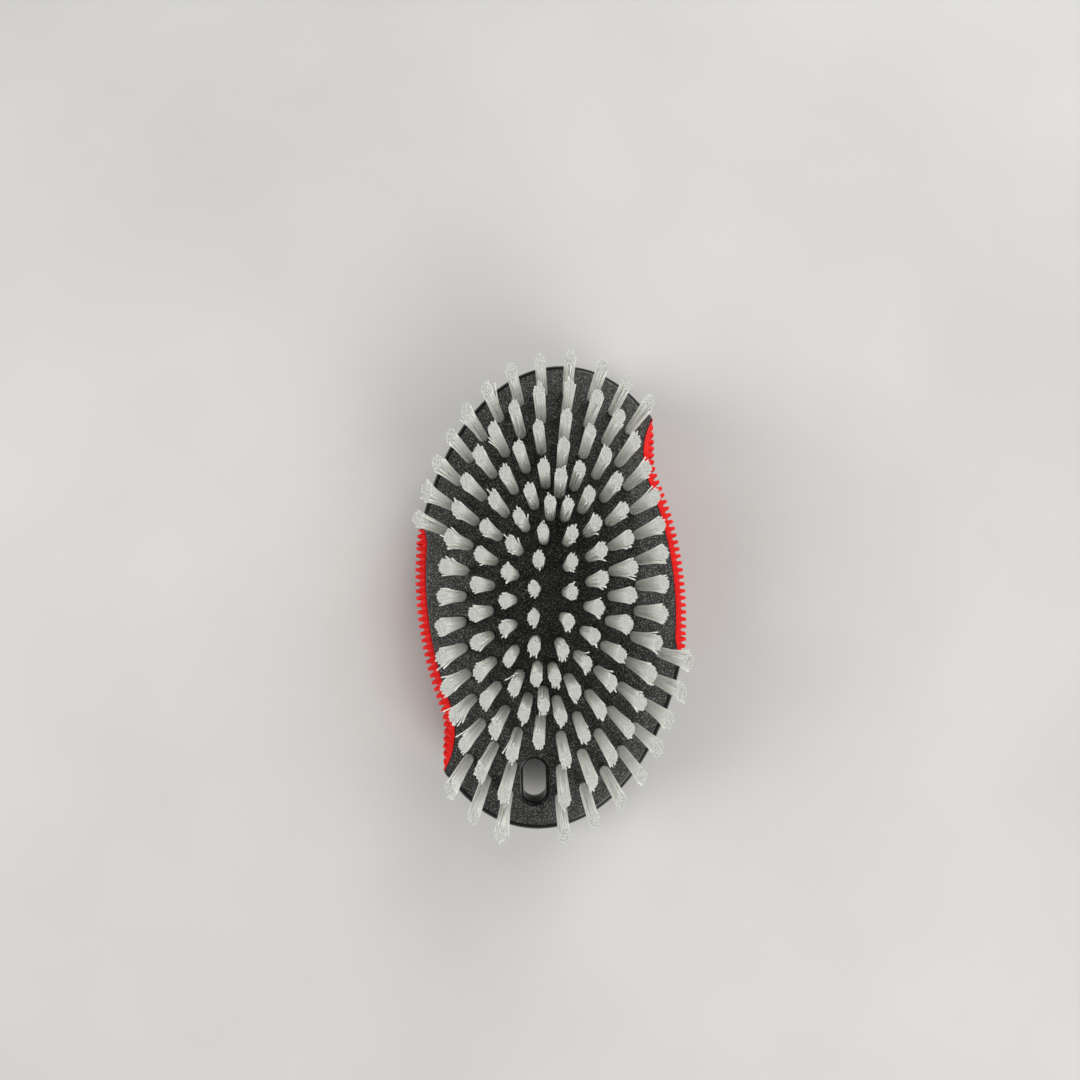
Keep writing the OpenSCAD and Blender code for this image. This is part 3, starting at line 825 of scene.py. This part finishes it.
def tuft_group(name, spots, seed):
    """All the tufts of half a ring as one mesh, with the cut ends in a darker copy of the nylon,
    painted shade.
    """
    rng = np.random.default_rng(seed)
    verts, faces, tips, count = [], [], [], 0
    for spot in spots:
        lines, axes = tuft_lines(rng, spot)
        rods = [*filament_rings(rng, lines[:FILAMENTS], axes), lines[FILAMENTS:].swapaxes(0, 1)]
        for rod in rods:
            steps, sides = rod.shape[:2]
            points = rod.reshape(-1, 3).copy()
            points[:, 2] = np.minimum(points[:, 2], BOX_TOP - TOP_CLEAR)
            verts.append(points)
            a = count + np.arange(steps - 1)[:, None] * sides + np.arange(sides)
            b = count + np.arange(steps - 1)[:, None] * sides + (np.arange(sides) + 1) % sides
            faces += np.stack([a, b, b + sides, a + sides], -1).reshape(-1, 4).tolist()
            faces.append(list(range(count + sides - 1, count - 1, -1)))
            tips.append(len(faces))
            faces.append(list(range(count + (steps - 1) * sides, count + steps * sides)))
            count += len(points)
    mesh = bpy.data.meshes.new(name)
    mesh.from_pydata((np.vstack(verts) * MM).tolist(), [], faces)
    index = np.zeros(len(faces), np.int32)
    index[tips] = 1
    mesh.polygons.foreach_set("material_index", index)
    return finish_mesh(name, mesh, [NYLON, SHADED_TIP], smooth_angle=50)


BOX_TOP = cad_box[1].z / MM
TOP_CLEAR = 0.01                     # the tufts end at least this far below the top of the CAD box

plate = bristle_plate()
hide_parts("bristle_plate")
shell = back_shell()
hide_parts("back_shell")
for side, turned in (("right", False), ("left", True)):
    rubber = grip(f"grip_{side}", turned)
    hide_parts(f"{side}_grip")
for number, ((ring, half), spots) in enumerate(PLACES.items()):
    bristles = tuft_group(f"bristles_{ring}_{half}", spots, FIRST_SEED + number)
    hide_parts(f"tufts_{ring}_{half}")
    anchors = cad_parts[f"anchors_{ring}_{half}"]
    anchors.data.materials.clear()
    anchors.data.materials.append(STEEL)


# ---------------------------------------------------------------- stage, light and camera
def floor():
    mat, tree, shader = material("pale_floor", (0.50, 0.495, 0.485), 0.6)
    tone = noise(tree, 12, 3.0)
    tree.links.new(ramp(tree, tone, [(0.3, (0.48, 0.475, 0.465)), (0.7, (0.53, 0.525, 0.515))]),
                   shader.inputs["Base Color"])
    mesh = bpy.data.meshes.new("floor")
    half = 2.0
    mesh.from_pydata([(-half, -half, 0), (half, -half, 0), (half, half, 0), (-half, half, 0)], [],
                     [(0, 1, 2, 3)])
    mesh.materials.append(mat)
    obj = bpy.data.objects.new("floor", mesh)
    bpy.context.scene.collection.objects.link(obj)


LIGHT_AWAY, LIGHT_UP, LIGHT_SIZE = 0.95, 38, 0.5     # metres, degrees, metres
LIGHT_COLOR = (1.0, 0.99, 0.965)
WORLD_COLOR, WORLD_STRENGTH = (0.95, 0.97, 1.0, 1), 0.18
# Name, azimuth in degrees and watts
LIGHTS = (("upper", 60, 5.3), ("left", 180, 6.0), ("lower", 300, 5.3), ("right", 0, 1.6))


def area_light(name, azimuth, power):
    """A soft light aimed at the origin."""
    a, e = math.radians(azimuth), math.radians(LIGHT_UP)
    direction = Vector((math.cos(e) * math.cos(a), math.cos(e) * math.sin(a), math.sin(e)))
    data = bpy.data.lights.new(name, "AREA")
    data.energy, data.size, data.color = power, LIGHT_SIZE, LIGHT_COLOR
    obj = bpy.data.objects.new(name, data)
    obj.location = direction * LIGHT_AWAY
    obj.rotation_euler = (-obj.location).to_track_quat("-Z", "Y").to_euler()
    bpy.context.scene.collection.objects.link(obj)


floor()
for light, azimuth, power in LIGHTS:
    area_light(light, azimuth, power)
world = bpy.data.worlds.new("studio")
world.use_nodes = True
background = world.node_tree.nodes["Background"]
background.inputs["Color"].default_value = WORLD_COLOR
background.inputs["Strength"].default_value = WORLD_STRENGTH
bpy.context.scene.world = world
bpy.context.scene.view_settings.view_transform = "Standard"

camera_data = bpy.data.cameras.new("camera")
camera_data.lens, camera_data.sensor_width = 23.5, 36.0
camera_data.clip_start, camera_data.clip_end = 0.01, 10.0
camera = bpy.data.objects.new("camera", camera_data)
# The eye hangs over the brush, tipped a little towards +Y and turned a little
EYE = Vector((-0.00498, -0.00185, 0.18814))
FORWARD = Vector((0.0147, 0.0830, -0.9964)).normalized()
UP = Vector((0.0145, 0.9964, 0.0832))
across = FORWARD.cross(UP).normalized()
camera.matrix_world = Matrix.Translation(EYE) @ Matrix(
    (across, across.cross(FORWARD), -FORWARD)).transposed().to_4x4()
bpy.context.scene.collection.objects.link(camera)
bpy.context.scene.camera = camera
